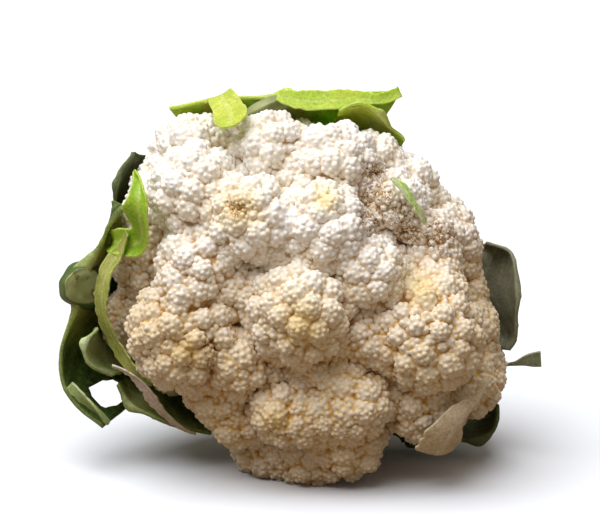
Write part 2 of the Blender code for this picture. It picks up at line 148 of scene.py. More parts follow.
# The leaves, outermost and oldest last: look, the rib's turn at the stalk (degrees), where it lies across
# the blade (-1 to 1), its thickness and the share left at the cut end, the blade's thickness, the wave
# of its edge, then stations along the cut end: turn, ring and out
LEAVES = (
    Leaf("leaf_lower_right", "grey", 342, 0.0, 3.5, 0.5, 1.0, 0.3,
         ((338, 86, -34), (340, 88, -33), (342, 89, -32), (344, 88, -33), (346, 86, -34))),
    Leaf("leaf_lower_left", "pale", 201, -0.3, 5.0, 0.7, 1.2, 0.2,
         ((190, 87, 4), (192, 91.5, 8), (195.3, 94.5, 9), (199, 93.5, 6), (203, 87, -3))),
    Leaf("leaf_top_right", "young", 66, 0.0, 5.5, 0.6, 1.1, 0.8,
         ((57, 76, -6), (61, 77, -4), (67, 80, 4), (73, 82, 8), (79, 77.5, 9))),
    Leaf("leaf_bottom", "old", 278, 0.0, 6.5, 0.6, 1.3, 0.6,
         ((257, 73, -36), (266, 74, -31), (275, 74, -28), (285, 75, -31), (295, 75, -36))),
    Leaf("leaf_upper_left", "old", 149, 0.0, 5.5, 0.5, 1.2, 0.2,
         ((158, 84, -12), (155, 88, -7), (150, 91, -4), (145.5, 93, -4), (141, 92.5, -8))),
    Leaf("leaf_right", "grey", 6, 0.1, 6.0, 0.4, 1.3, 0.3,
         ((-16, 87, -26), (-12.5, 93, -24), (-8, 91, -22), (-3, 91, -20), (2, 90.5, -20), (7.5, 90.5, -21),
          (11, 90, -24), (14.5, 82, -28))),
    Leaf("leaf_low_left", "olive", 219, -0.45, 7.0, 0.5, 1.3, 0.7,
         ((206, 88, -4), (212, 87, -3), (218, 82.5, 0), (226, 77.5, -2), (236, 72, -10))),
    Leaf("leaf_top", "young", 99, 0.2, 9.0, 0.65, 1.2, 0.8,
         ((64.5, 92, 2), (69, 90, 2), (76, 86, 1), (84, 83.5, 0), (91, 82, 0), (97, 81, -3), (104, 84.5, -9),
          (114, 90.5, -14), (126.5, 98.5, -18))),
    Leaf("leaf_low_right", "old", 320, 0.1, 7.0, 0.6, 1.4, 0.4,
         ((304, 79, -26), (310, 84, -22), (317, 92, -20), (321, 98, -19), (325, 99.5, -19),
          (329.5, 95, -22))),
    Leaf("leaf_left", "lit", 182, 0.25, 8.5, 0.9, 1.3, 0.7,
         ((213.5, 102, -2), (207, 106.5, -2), (200, 108, -1), (192, 103.5, 1), (185, 96, 3), (177, 92, 5),
          (169, 87.5, 9), (161, 85, 15), (154, 79, 20))),
)

# Small leaves and strips on the curd and the leaves: the node they belong to, look, thickness, cup, how
# ragged the edge is, then stations along the middle: across, up, out, half width and roll in degrees
BRACTS = (
    Bract("bract_torn", "bract_torn", "torn_green", 0.8, 0.3, 0.8,
          ((42.5, 25, 31, 0.6, 0), (41, 29.5, 34, 2.0, 10), (39.5, 35.5, 37, 1.4, 10), 
           (37.5, 41.5, 38, 2.2, 15),
           (34, 46.5, 38, 0.6, 15))),
    Bract("bract_pale", "bract_pale", "papery", 0.8, -2.4, 0.2,
          ((46, -56, 24, 7.5, 24), (49, -51, 29, 8.0, 26), (55, -45, 32, 5.0, 26), (63, -38, 27, 1.5, 20),
           (68, -31, 15, 0.6, 16))),
    Bract("leaf_flap", "leaf_flap", "young", 0.9, 2.2, 0.2,
          ((-75, 20, 0, 3.0, 0), (-73, 20, 16, 5.5, -15), (-63, 22, 30, 6.2, -35), (-58.5, 28, 35, 5.8, -42),
           (-58.5, 34, 36, 4.0, -35), (-59.5, 39.5, 34, 2.0, -20), (-61, 44, 28, 0.4, 0))),
    Bract("leaf_lobe", "leaf_lobe", "lime", 1.0, 0.8, 0.1,
          ((-31, 60, -30, 3.0, 0), (-32, 68, -18, 4.0, 0), (-31.5, 72, -4, 4.6, 0), (-31, 73, 12, 5.2, 0),
           (-30.5, 73.5, 24, 6.8, 0), (-30, 71, 32, 7.4, 0), (-30, 67.5, 36, 4.0, 0))),
    Bract("leaf_top_blade", "leaf_top", "bright", 1.0, 0.5, 0.3,
          ((-11.5, 82.5, 4, 2.4, 118), (-4, 80.5, 5, 4.0, 118), (5, 80, 5, 4.4, 118), (15, 80.5, 5, 4.3, 118),
           (23, 81, 4, 3.8, 118), (28.5, 80.5, 4, 2.4, 118), (34, 81.5, 3, 2.6, 118), (40, 84, 2, 2.4, 118))),
    Bract("leaf_left_fold", "leaf_left", "pale", 1.0, 1.0, 0.4,
          ((-98, -38, 2, 1.5, 60), (-93, -43, 4, 3.0, 30), (-86, -49, 4, 4.0, 0), (-82, -54, 2, 1.6, -20))),
    Bract("leaf_left_band", "leaf_left", "blanched", 0.8, 0.8, 0.5,
          ((-68, 23, 20, 1.5, 0), (-78, 15, 17, 4.5, 10), (-83, 4, 14, 5.0, 20), (-83.5, -8, 11, 4.5, 20),
           (-79.5, -19, 7, 4.5, 20), (-72.5, -29, 7, 4.5, 20), (-62, -37, 8, 1.5, 10))),
    Bract("leaf_low_left_torn", "leaf_low_left", "torn_pale", 0.8, 0.6, 0.8,
          ((-80, -30, 8, 0.8, 0), (-73, -33, 11, 1.4, 10), (-66, -39, 11, 2.6, 30), (-62, -46, 9, 3.0, 30),
           (-53, -55, 4, 1.8, 20), (-46, -59, 0, 0.7, 10))),
    Bract("leaf_lower_right_tip", "leaf_lower_right", "dry", 0.8, 0.6, 0.0,
          ((80, -30, -30, 1.5, 80), (86, -31, -28, 0.5, 80), (91, -30.5, -27, 1.1, 80),
           (96, -29, -26, 3.0, 80), (102, -28.3, -26, 3.9, 80))),
)

# Ends of thick ribs: the node they belong to, colours of skin and cut face, middle, half sizes, lean in
# degrees, slant towards the axis at the back, where the cut face looks, and how far along that the cut lies
BUTTS = (
    Butt("leaf_left_butt", "leaf_left", "cut rib", (-93.5, 3.2, -14.0), (11.0, 10.4, 30.0), 0, 0.42,
         (0.52, -0.12, 0.85), 17.6),
    Butt("leaf_top_rib", "leaf_top", "rib skin", (-16.0, 77.8, -9.0), (11.5, 4.6, 13.0), 24, 0,
         (0, 0, 1), 20.0),
)

# A hole torn in the left leaf: across, up and half sizes
TEAR = (-84.5, -43.5, 6.5, 4.4)
TEAR_PASSES = 5

# Looks of the rib ends: light and dark of the skin, light and dark of the cut face
BUTT_LOOKS = {
    "cut rib": ("#577332", "#3C5323", "#A6AC78", "#848E58"),
    "rib skin": ("#A3A878", "#6E7438", "#A6AC78", "#848E58"),
}

# Looks of the leaves: light and dark of the outer side, light and dark of the inner side, veins and rib
LEAF_LOOKS = {
    # Partly painted light: the bright look, and the inner sides of young, lime and lit, are their own
    # yellow-green made brighter, as if light shone through the blade
    "young": ("#B8D83C", "#98C228", "#D6EC44", "#B2C42E", "#DAE48C"),
    "bright": ("#CFE84C", "#B4D636", "#CFE84C", "#B4D636", "#E2EE94"),
    "lime": ("#D6E056", "#BFD044", "#D6E056", "#BFD044", "#E4EB96"),
    "lit": ("#4F7128", "#35521C", "#C4C656", "#8C9632", "#C3CC86"),
    "old": ("#3E5524", "#2A3D1A", "#5B5F38", "#3C4326", "#7F8C60"),
    "olive": ("#6E8238", "#55692A", "#7E8A42", "#586227", "#A8AE72"),
    "pale": ("#9FB371", "#869C5B", "#B4C584", "#95AA64", "#CED8AC"),
    "grey": ("#777A60", "#585C47", "#8C8A70", "#63644E", "#A8A790"),
    "dry": ("#A9AC9A", "#8C9080", "#A9AC9A", "#8C9080", "#C4C6B6"),
    "blanched": ("#BCC068", "#8C9440", "#BCC068", "#8C9440", "#CDD28C"),
    "papery": ("#DCCAAE", "#C6AF8E", "#DCCAAE", "#C6AF8E", "#E8DFD2"),
    "torn_green": ("#A3C650", "#E6E2CC", "#A3C650", "#E6E2CC", "#EFEDDC"),
    "torn_pale": ("#D6C6BC", "#BFA896", "#D6C6BC", "#BFA896", "#E6DCD2"),
}

# Side veins: how far apart along the rib, their slope, width and height
VEIN_STEP, VEIN_SLOPE, VEIN_WIDTH, VEIN_RISE = 9.0, 0.9, 0.55, 0.35

# Painted shade on the head's lower side, darker and yellower: where it starts, and how far down it is full
SHADE_ABOVE, SHADE_REACH = 30, 62

# Painted shade makes the rim florets darker than the crown: from how far out, over what distance, how much
RIM_SHADE_FROM, RIM_SHADE_REACH, RIM_SHADE_SHARE = 42, 40, 0.8
RIM_SHADE_BELOW, RIM_SHADE_FADE = 50, 40

# Painted light: the left leaf's inner side is painted lit only above this height, and over this distance
LIT_ABOVE, LIT_FADE = -26, 18

# Marks on the crown: across, up, reach
STAINS = ((28, 50, 5), (29, 40, 7), (27, 30, 6), (38, 32, 5), (42, 25, 6), (54, 24, 7), (-38, -21, 3.5),
          (-27, 34, 4), (-38, -27, 2.5))
RIPE_SPOTS = ((-1, -11, 10), (-26, 34, 9), (46, 3, 8), (8, 38, 6), (-46, -22, 8), (-12, -50, 5))


# The floor is shown pale, and throws back as much light as a wooden table would
FLOOR_SHOWN, FLOOR_BOUNCE = "#EEF2FA", "#8A7A68"

# The studio's soft light as seen from the head: direction towards it, its width in degrees, its strength,
# and then the warm fill
SUNS = (("overhead softbox", (-0.3, -0.24, 0.93), 60, 3.8),)
WORLD_LIGHT, FILL_COLOUR = 0.24, "#FFF0DC"

# The camera looks along the stalk's axis from in front of the crown
CAMERA_AWAY = 900
CAMERA_TARGET = (-2.1, 13.65, 0)
FRAME_WIDTH = 252

# Sockets of a colour mix
SHARE, UNDER, OVER, MIXED = 0, 6, 7, 2


def place(points):
    """Head-frame points in millimetres as world points in metres."""
    points = np.asarray(points, dtype=float)
    return (points[..., :1] * ACROSS + points[..., 1:2] * UP + points[..., 2:3] * OUT + CENTRE) * MM


def unplace(world):
    """World points in metres as head-frame points in millimetres."""
    offset = np.asarray(world) / MM - CENTRE
    return np.stack((offset @ ACROSS, offset @ UP, offset @ OUT), axis=-1)


def unit(vectors):
    return vectors / np.linalg.norm(vectors, axis=-1, keepdims=True)


def smooth_step(x):
    x = np.clip(x, 0, 1)
    return x * x * (3 - 2 * x)


# Node trees and materials

def linear(hex_colour):
    """An sRGB hex colour as linear RGBA."""
    channels = [int(hex_colour[i:i + 2], 16) / 255 for i in (1, 3, 5)]
    return tuple(c / 12.92 if c <= 0.04045 else ((c + 0.055) / 1.055) ** 2.4 for c in channels) + (1.0,)


def feed(tree, node, inputs):
    """Sets inputs of a node, each to a value or a hex colour, or links it from another node's output."""
    for name, value in dict(inputs).items():
        socket = node.inputs[name]
        if isinstance(value, bpy.types.NodeSocket):
            tree.links.new(value, socket)
        elif isinstance(value, str) and value.startswith("#"):
            socket.default_value = linear(value)
        else:
            socket.default_value = value


def add_node(tree, kind, inputs=(), out=0, **settings):
    """Adds a node with its settings and links, and gives one of its outputs."""
    node = tree.nodes.new(kind)
    for name, value in settings.items():
        setattr(node, name, value)
    feed(tree, node, inputs)
    return node.outputs[out] if len(node.outputs) else None


def new_material(name):
    material = bpy.data.materials.new(name)
    material.use_nodes = True
    return material, material.node_tree, material.node_tree.nodes["Principled BSDF"]


def curd_material():
    """Raw curd: moist, waxy, slightly translucent and creamy white where light strikes it, with a soft broad
    shine on the granules; painted shade turns creases and hollows ochre and the lower side and rim darker."""
    material, tree, shader = new_material("moist curd")
    place_on = add_node(tree, "ShaderNodeTexCoord", out="Object")
    patches, specks, grain = (
        add_node(tree, "ShaderNodeTexNoise", {"Vector": place_on, "Scale": scale, "Detail": detail})
        for scale, detail in ((45.0, 3.0), (420.0, 2.0), (1500.0, 2.0)))
    crease, hollow, ripe, stain, shaded = (
        add_node(tree, "ShaderNodeAttribute", out="Fac", attribute_name=layer)
        for layer in ("crease", "hollow", "ripe", "stain", "shaded"))
    patchy, depth, coarse, fine, marked = (
        add_node(tree, "ShaderNodeMapRange", {"Value": value, "From Min": low, "From Max": high})
        for value, low, high in ((patches, 0.35, 0.7), (shaded, -0.9, 1.1), (grain, 0.4, 0.54),
                                 (specks, 0.4, 0.55), (stain, 0.05, 0.6)))
    # Shares of painted shade in the creases and the hollows, stronger where the head is painted shaded
    crease_shade, hollow_shade, dots, dusty = (
        add_node(tree, "ShaderNodeMath", {0: first, 1: second}, operation="MULTIPLY")
        for first, second in ((crease, depth), (hollow, depth), (coarse, fine), (crease, 0.6)))
    dirt = add_node(tree, "ShaderNodeMath", {0: dusty, 1: dots}, operation="ADD")
    dirt = add_node(tree, "ShaderNodeMath", {0: dirt, 1: 1.0}, operation="MINIMUM")
    stained = add_node(tree, "ShaderNodeMath", {0: marked, 1: dirt}, operation="MULTIPLY")
    colour = "#FBFAFB"
    # Colour layers: random patches, ripe patches, then painted shade (lower side and rim, ochre creases and
    # hollows), then real stains
    for share, over, blend in (
            (patchy, "#F7F2E6", "MIX"), (ripe, "#F1E0B4", "MIX"), (shaded, "#E2D7C5", "MULTIPLY"),
            (crease_shade, "#DEB868", "MIX"), (hollow_shade, "#C2933C", "MIX"), (stained, "#A67F38", "MULTIPLY")):
        colour = add_node(tree, "ShaderNodeMix", {SHARE: share, UNDER: colour, OVER: over}, MIXED,
                          data_type="RGBA", blend_type=blend)
    feed(tree, shader, {
        "Base Color": colour, "Roughness": 0.5, "IOR": 1.42, "Specular IOR Level": 0.4,
        "Subsurface Weight": 0.2, "Subsurface Radius": (0.85, 0.8, 0.6), "Subsurface Scale": 0.001,
        "Normal": add_node(tree, "ShaderNodeBump", {"Height": grain, "Strength": 0.2, "Distance": 0.0003}),
    })
    return material


def two_tone_material(name, scale, low, high, light, dark, strength, depth, settings):
    """Smooth plant flesh in two tones, with a relief that follows them; settings are the shader's own."""
    material, tree, shader = new_material(name)
    place_on = add_node(tree, "ShaderNodeTexCoord", out="Object")
    streaks = add_node(tree, "ShaderNodeTexNoise", {"Vector": place_on, "Scale": scale, "Detail": 4.0})
    share = add_node(tree, "ShaderNodeMapRange", {"Value": streaks, "From Min": low, "From Max": high})
    colour = add_node(tree, "ShaderNodeMix", {SHARE: share, UNDER: light, OVER: dark},
                      MIXED, data_type="RGBA")
    bump = add_node(tree, "ShaderNodeBump", {"Height": streaks, "Strength": strength, "Distance": depth})
    feed(tree, shader, {"Base Color": colour, "Normal": bump, **settings})
    return material


def stem_material():
    """Inner stems: pale green-white and smooth, like the flesh of the stalk."""
    return two_tone_material("curd stem", 120.0, 0.3, 0.7, "#E4E2C4", "#CBCB98", 0.4, 0.0006, {
        "Roughness": 0.45, "Subsurface Weight": 0.2, "Subsurface Radius": (1.0, 0.8, 0.4),
        "Subsurface Scale": 0.002})


def flesh_material():
    """Cut leaf flesh: wet pale green tissue that has greyed where it dried."""
    return two_tone_material("cut leaf flesh", 320.0, 0.35, 0.65, "#B9C48E", "#7E8F5B", 0.5, 0.0006, {
        "Roughness": 0.5, "Subsurface Weight": 0.2, "Subsurface Radius": (0.7, 1.0, 0.3),
        "Subsurface Scale": 0.0015})


def stalk_material():
    """Cut stalk: a fibrous pale disc that has dried and browned a little, inside a waxy green skin."""
    material, tree, shader = new_material("cut stalk")
    place_on = add_node(tree, "ShaderNodeTexCoord", out="Object")
    fibres, patches = (
        add_node(tree, "ShaderNodeTexNoise", {"Vector": place_on, "Scale": scale, "Detail": detail})
        for scale, detail in ((260.0, 4.0), (60.0, 2.0)))
    cut, ring = (
        add_node(tree, "ShaderNodeAttribute", out="Fac", attribute_name=layer) for layer in ("cut", "ring"))
    skin, face = (
        add_node(tree, "ShaderNodeMix", {SHARE: share, UNDER: under, OVER: over}, MIXED, data_type="RGBA")
        for share, under, over in ((patches, "#9DB26A", "#C6CF9C"), (fibres, "#E3DDB8", "#C9BD86")))
    face = add_node(tree, "ShaderNodeMix", {SHARE: ring, UNDER: face, OVER: "#A9A866"},
                    MIXED, data_type="RGBA")
    feed(tree, shader, {
        "Base Color": add_node(tree, "ShaderNodeMix", {SHARE: cut, UNDER: skin, OVER: face}, MIXED,
                               data_type="RGBA"),
        "Roughness": 0.55, "Subsurface Weight": 0.15, "Subsurface Radius": (1.0, 0.9, 0.4),
        "Subsurface Scale": 0.002,
        "Normal": add_node(tree, "ShaderNodeBump", {"Height": fibres, "Strength": 0.6, "Distance": 0.0008}),
    })
    return material


def leaf_material(name, light, dark, inner_light, inner_dark, vein):
    """Brassica leaf: a waxy blade, dark outside and yellower on its blanched inner side, with paler
    veins and rib, a little light coming through, and a net of small veins that breaks up the shine;
    the brighter inner colours are partly painted light, as if light shone through the blade."""
    material, tree, shader = new_material(name)
    place_on = add_node(tree, "ShaderNodeTexCoord", out="Object")
    patches, freckles = (
        add_node(tree, "ShaderNodeTexNoise", {"Vector": place_on, "Scale": scale, "Detail": detail})
        for scale, detail in ((110.0, 5.0), (900.0, 2.0)))
    mesh = add_node(tree, "ShaderNodeTexVoronoi", {"Vector": place_on, "Scale": 420.0}, "Distance",
                    feature="DISTANCE_TO_EDGE")
    rib, veins, edge, inner = (
        add_node(tree, "ShaderNodeAttribute", out="Fac", attribute_name=layer)
        for layer in ("rib", "vein", "edge", "inner"))
    patchy, net, freckled = (
        add_node(tree, "ShaderNodeMapRange", {"Value": value, "From Min": low, "From Max": high})
        for value, low, high in ((patches, 0.35, 0.65), (mesh, 0.12, 0.0), (freckles, 0.3, 0.7)))
    outside, inside = (
        add_node(tree, "ShaderNodeMix", {SHARE: patchy, UNDER: under, OVER: over}, MIXED, data_type="RGBA")
        for under, over in ((light, dark), (inner_light, inner_dark)))
    colour = add_node(tree, "ShaderNodeMix", {SHARE: inner, UNDER: outside, OVER: inside},
                      MIXED, data_type="RGBA")
    for level, strength in ((net, 0.2), (veins, 0.6), (rib, 0.65), (edge, 0.35)):
        share = add_node(tree, "ShaderNodeMath", {0: level, 1: strength}, operation="MULTIPLY")
        colour = add_node(tree, "ShaderNodeMix", {SHARE: share, UNDER: colour, OVER: vein},
                          MIXED, data_type="RGBA")
    colour = add_node(tree, "ShaderNodeMix", {SHARE: freckled, UNDER: colour, OVER: "#D8D8D8"}, MIXED,
                      data_type="RGBA", blend_type="MULTIPLY")
    feed(tree, shader, {
        "Base Color": colour, "Roughness": 0.5, "Specular IOR Level": 0.35,
        "Subsurface Weight": 0.6, "Subsurface Radius": (0.7, 1.0, 0.25), "Subsurface Scale": 0.003,
        "Normal": add_node(tree, "ShaderNodeBump", {"Height": mesh, "Strength": 0.35, "Distance": 0.0004}),
    })
    return material


def butt_material(name, light, dark, face_light, face_dark):
    """Thick leaf rib: waxy green skin, and where it is cut a pale face that dried in brown blotches."""
    material, tree, shader = new_material(name)
    place_on = add_node(tree, "ShaderNodeTexCoord", out="Object")
    blotches, patches = (
        add_node(tree, "ShaderNodeTexNoise", {"Vector": place_on, "Scale": scale, "Detail": detail})
        for scale, detail in ((260.0, 5.0), (90.0, 3.0)))
    patchy, browned = (
        add_node(tree, "ShaderNodeMapRange", {"Value": value, "From Min": low, "From Max": high})
        for value, low, high in ((patches, 0.35, 0.65), (blotches, 0.56, 0.66)))
    skin, face = (
        add_node(tree, "ShaderNodeMix", {SHARE: patchy, UNDER: under, OVER: over}, MIXED, data_type="RGBA")
        for under, over in ((light, dark), (face_light, face_dark)))
    face = add_node(tree, "ShaderNodeMix", {SHARE: browned, UNDER: face, OVER: "#6E5F3C"},
                    MIXED, data_type="RGBA")
    cut = add_node(tree, "ShaderNodeAttribute", out="Fac", attribute_name="cut")
    colour = add_node(tree, "ShaderNodeMix", {SHARE: cut, UNDER: skin, OVER: face}, MIXED, data_type="RGBA")
    feed(tree, shader, {
        "Base Color": colour, "Roughness": 0.5, "Subsurface Weight": 0.15,
        "Subsurface Radius": (0.7, 1.0, 0.3), "Subsurface Scale": 0.0015,
        "Normal": add_node(tree, "ShaderNodeBump", {"Height": blotches, "Strength": 0.5, "Distance": 0.0008}),
    })
    return material


# The curd

def dome_out(across, up):
    """How far out the floret centres lie, over a dome whose long side is turned."""
    along = across * math.cos(DOME_TURN) + up * math.sin(DOME_TURN)
    beside = up * math.cos(DOME_TURN) - across * math.sin(DOME_TURN)
    share = (along / DOME_LONG) ** 2 + (beside / DOME_SHORT) ** 2
    return DOME_DEPTH * math.sqrt(max(0.0, 1 - share))


def florets():
    """Centres and radii of the floret heads."""
    centres, radii = [], []
    for across, up, nudge, radius in CROWN_FLORETS:
        out = dome_out(across, up) + nudge
        near = 1 - out / VIEW_DISTANCE
        centres.append((across * near, up * near, out))
        radii.append(radius * near)
    for i, (turn, reach) in enumerate(RIM_FLORETS):
        angle = math.radians(turn)
        ring = reach - RIM_RADIUS - 1.5
        centres.append((ring * math.cos(angle), ring * math.sin(angle), RIM_OUT + 3 * math.sin(3 * i)))
        radii.append(RIM_RADIUS)
    return np.array(centres), np.array(radii, dtype=float)


def spiral(count, cap):
    """Directions spread evenly by the golden angle over a cap round the third axis."""
    k = np.arange(count)
    polar = np.arccos(1 - (1 - math.cos(cap)) * (k + 0.5) / count)
    turn = k * GOLDEN_ANGLE
    return np.stack((np.sin(polar) * np.cos(turn), np.sin(polar) * np.sin(turn), np.cos(polar)), axis=1)


def turned(directions, axes, phases):
    """The directions, for every axis, turned so that their third axis lies on it."""
    helper = np.where(np.abs(axes[:, 2:]) < 0.9, (0.0, 0.0, 1.0), (1.0, 0.0, 0.0))
    side = unit(np.cross(helper, axes))
    other = np.cross(axes, side)
    cosine, sine = np.cos(phases)[:, None], np.sin(phases)[:, None]
    first, second = side * cosine + other * sine, other * cosine - side * sine
    return (
        directions[None, :, :1] * first[:, None] + directions[None, :, 1:2] * second[:, None]
        + directions[None, :, 2:] * axes[:, None]
    )


def clear_of(points, centres, radii):
    """Which points lie outside every ball."""
    if not len(centres) or not len(points):
        return np.ones(len(points), dtype=bool)
    distance = np.linalg.norm(points[:, None] - centres[None], axis=2)
    return (distance > radii[None]).all(axis=1)


def grow(parents, axes, radii, directions, child_radius, sink, rng):
    """Child balls on every parent: centre, axis and radius, in one row for each child."""
    axes_out = turned(directions, axes, rng.uniform(0, 2 * math.pi, len(axes)))
    axes_out = unit(axes_out + rng.normal(0, GROWN_TILT, axes_out.shape))
    size = child_radius[:, None] * rng.uniform(0.86, 1.14, axes_out.shape[:2])
    centres = parents[:, None] + axes_out * (radii[:, None] - sink * size)[..., None]
    return centres.reshape(-1, 3), axes_out.reshape(-1, 3), size.reshape(-1)


def fineness_of(directions, axis):
    """How large the grain is along each direction: finer at the apex of the floret."""
    polar = np.arccos(np.clip(directions @ axis, -1, 1))
    return APEX_FINENESS + (1 - APEX_FINENESS) * smooth_step(polar / APEX_ANGLE)


def thinned(points, sizes, spacing):
    """Which balls stay, in the order given, when none comes nearer to one before it than the spacing,
    as a share of their two radii together."""
    tree = KDTree(len(points))
    for i, point in enumerate(points):
        tree.insert(point, i)
    tree.balance()
    widest = sizes.max(initial=0)
    stays = np.zeros(len(points), dtype=bool)
    for i, point in enumerate(points):
        near = tree.find_range(point, spacing * (sizes[i] + widest))
        stays[i] = not any(stays[j] and away < spacing * (sizes[i] + sizes[j]) for _, j, away in near)
    return stays


def floret_balls(index, centres, radii, rng):
    """Every ball that shows on one floret, and its core: centre and radius."""
    centre, radius = centres[index], radii[index]
    others = np.arange(len(centres)) != index
    near = others & (np.linalg.norm(centres - centre, axis=1) < radii + radius + NEAR_FLORET)
    near, near_radii = centres[near], radii[near]
    axis = unit(centre - ROOT)

    # Buds, spread over the floret as in the frame
    count = round(BUD_CROWDING * 2 * (1 - math.cos(BUD_CAP)) * radius**2 / BUD_RADIUS**2)
    directions = turned(spiral(count, BUD_CAP), axis[None], np.array((0.7 * index,)))[0]
    directions = unit(directions + rng.normal(0, BUD_TILT, directions.shape))
    bud_radii = BUD_RADIUS * (0.9 + 0.16 * np.sin(2.3 * np.arange(count) + index))
    bud_radii = bud_radii * rng.uniform(0.9, 1.2, count)
    buds = centre + directions * (radius - bud_radii * BUD_RISE)[:, None]
    shows = clear_of(buds + directions * bud_radii[:, None], near, near_radii * HIDES_BUDS)
    buds, directions, bud_radii = buds[shows], directions[shows], bud_radii[shows]
    cores, core_radii = np.vstack((buds, centre)), np.append(bud_radii * BUD_CORE, radius * CORE_SHARE)

    # Beads on the buds, and on the floret's own ground between them
    beads, bead_axes, bead_radii = grow(
        buds, directions, bud_radii - BEAD_SET_BACK, spiral(BEAD_COUNT, BEAD_CAP),
        np.full(len(buds), BEAD_RADIUS), 1.0, rng)
    ground_count = round(2 * math.pi * (1 - math.cos(BUD_CAP)) * radius**2 / GROUND_BEAD)
    ground = turned(spiral(ground_count, BUD_CAP), axis[None], np.array((0.3 * index,)))[0]
    ground = unit(ground + rng.normal(0, GROUND_TILT, ground.shape))
    ground_radii = BEAD_RADIUS * rng.uniform(0.85, 1.3, ground_count)
    beads = np.vstack((beads, centre + ground * (radius * GROUND_SHARE - 0.5 * ground_radii)[:, None]))
    bead_axes, bead_radii = np.vstack((bead_axes, ground)), np.append(bead_radii, ground_radii)
    tips = beads + bead_axes * bead_radii[:, None]
    shows = clear_of(tips, cores, core_radii) & clear_of(tips, near, near_radii * HIDES_BEADS)
    beads, bead_axes, bead_radii = beads[shows], bead_axes[shows], bead_radii[shows]

    # Granules on the beads and on the buds
    found = [
        grow(beads, bead_axes, bead_radii, spiral(GRANULE_COUNT, GRANULE_CAP),
             GRANULE_RADIUS * fineness_of(bead_axes, axis), 1 - GRANULE_RISE, rng),
        grow(buds, directions, bud_radii * BUD_CORE, spiral(BUD_GRANULES, GRANULE_CAP),
             GRANULE_RADIUS * fineness_of(directions, axis), 1 - GRANULE_RISE, rng),
    ]
    granules, granule_axes, granule_radii = (np.concatenate(parts) for parts in zip(*found))
    tips = granules + granule_axes * granule_radii[:, None] * 0.8
    shows = (
        clear_of(tips, beads, bead_radii) & clear_of(tips, cores, core_radii)
        & clear_of(tips, near, near_radii * HIDES_GRANULES)
    )
    granules, granule_radii = granules[shows], granule_radii[shows]
    outermost = np.argsort(-np.linalg.norm(granules - centre, axis=1))
    granules, granule_radii = granules[outermost], granule_radii[outermost]
    stays = thinned(granules, granule_radii, GRANULE_SPACING)
    return (
        np.vstack((centre, buds, beads, granules[stays])),
        np.concatenate(([radius * CORE_SHARE], bud_radii * BUD_CORE, bead_radii, granule_radii[stays])),
    )


def join_balls_group(voxel):
    """Geometry nodes that turn points with a size into one closed skin round their balls."""
    group = bpy.data.node_groups.new("join balls", "GeometryNodeTree")
    group.interface.new_socket("Geometry", in_out="INPUT", socket_type="NodeSocketGeometry")
    group.interface.new_socket("Geometry", in_out="OUTPUT", socket_type="NodeSocketGeometry")
    start = add_node(group, "NodeGroupInput")
    size = add_node(group, "GeometryNodeInputNamedAttribute", {"Name": "size"}, "Attribute",
                    data_type="FLOAT")
    points = add_node(group, "GeometryNodeMeshToPoints", {"Mesh": start})
    volume = add_node(
        group, "GeometryNodePointsToVolume",
        {"Points": points, "Radius": size, "Voxel Size": voxel * MM},
        resolution_mode="VOXEL_SIZE")
    skin = add_node(group, "GeometryNodeVolumeToMesh", {"Volume": volume, "Threshold": 0.15},
                    resolution_mode="GRID")
    add_node(group, "NodeGroupOutput", {"Geometry": skin})
    return group


def joined(name, centres, radii, group):
    """One object whose mesh is the skin round the balls, given in the head's frame."""
    bm = bmesh.new()
    size = bm.verts.layers.float.new("size")
    for spot, radius in zip(place(centres), radii):
        bm.verts.new(spot)[size] = radius * MM
    points = bpy.data.meshes.new(name + " points")
    bm.to_mesh(points)
    bm.free()
    obj = bpy.data.objects.new(name, points)
    bpy.context.scene.collection.objects.link(obj)
    obj.modifiers.new("join", "NODES").node_group = group
    graph = bpy.context.evaluated_depsgraph_get()
    mesh = bpy.data.meshes.new_from_object(obj.evaluated_get(graph), depsgraph=graph)
    obj.modifiers.clear()
    obj.data = mesh
    bpy.data.meshes.remove(points)
    return obj


def coordinates(mesh):
    spots = np.empty(len(mesh.vertices) * 3, dtype=np.float32)
    mesh.vertices.foreach_get("co", spots)
    return spots.reshape(-1, 3).astype(float)


def set_coordinates(mesh, spots):
    mesh.vertices.foreach_set("co", np.asarray(spots, dtype=np.float32).reshape(-1))
    mesh.update()


def set_attribute(mesh, name, values):
    layer = mesh.attributes.new(name, "FLOAT", "POINT")
    layer.data.foreach_set("value", np.asarray(values, dtype=np.float32))


def star_reach(directions, centres, radii, star):
    """How far the joined balls reach from the star point, along each direction."""
    offset = centres - star
    along = directions @ offset.T
    inside = radii**2 - (offset**2).sum(axis=1) + along**2
    return np.where(inside > 0, along + np.sqrt(np.maximum(inside, 0)), 0).max(axis=1)


def close_at_root(mesh, hidden, root):
    """Cuts away the vertices that nothing shows, and draws the open rim in to the root point."""
    bm = bmesh.new()
    bm.from_mesh(mesh)
    bm.verts.ensure_lookup_table()
    lost = [bm.verts[int(i)] for i in np.flatnonzero(hidden)]
    bmesh.ops.delete(bm, geom=lost, context="VERTS")
    loose = [v for v in bm.verts if not v.link_faces]
    bmesh.ops.delete(bm, geom=loose, context="VERTS")
    rim = [e for e in bm.edges if e.is_boundary]
    if rim:
        made = bmesh.ops.extrude_edge_only(bm, edges=rim)["geom"]
        tips = [v for v in made if isinstance(v, bmesh.types.BMVert)]
        bmesh.ops.pointmerge(bm, verts=tips, merge_co=Vector(root))
    bmesh.ops.recalc_face_normals(bm, faces=bm.faces)
    bm.to_mesh(mesh)
    bm.free()


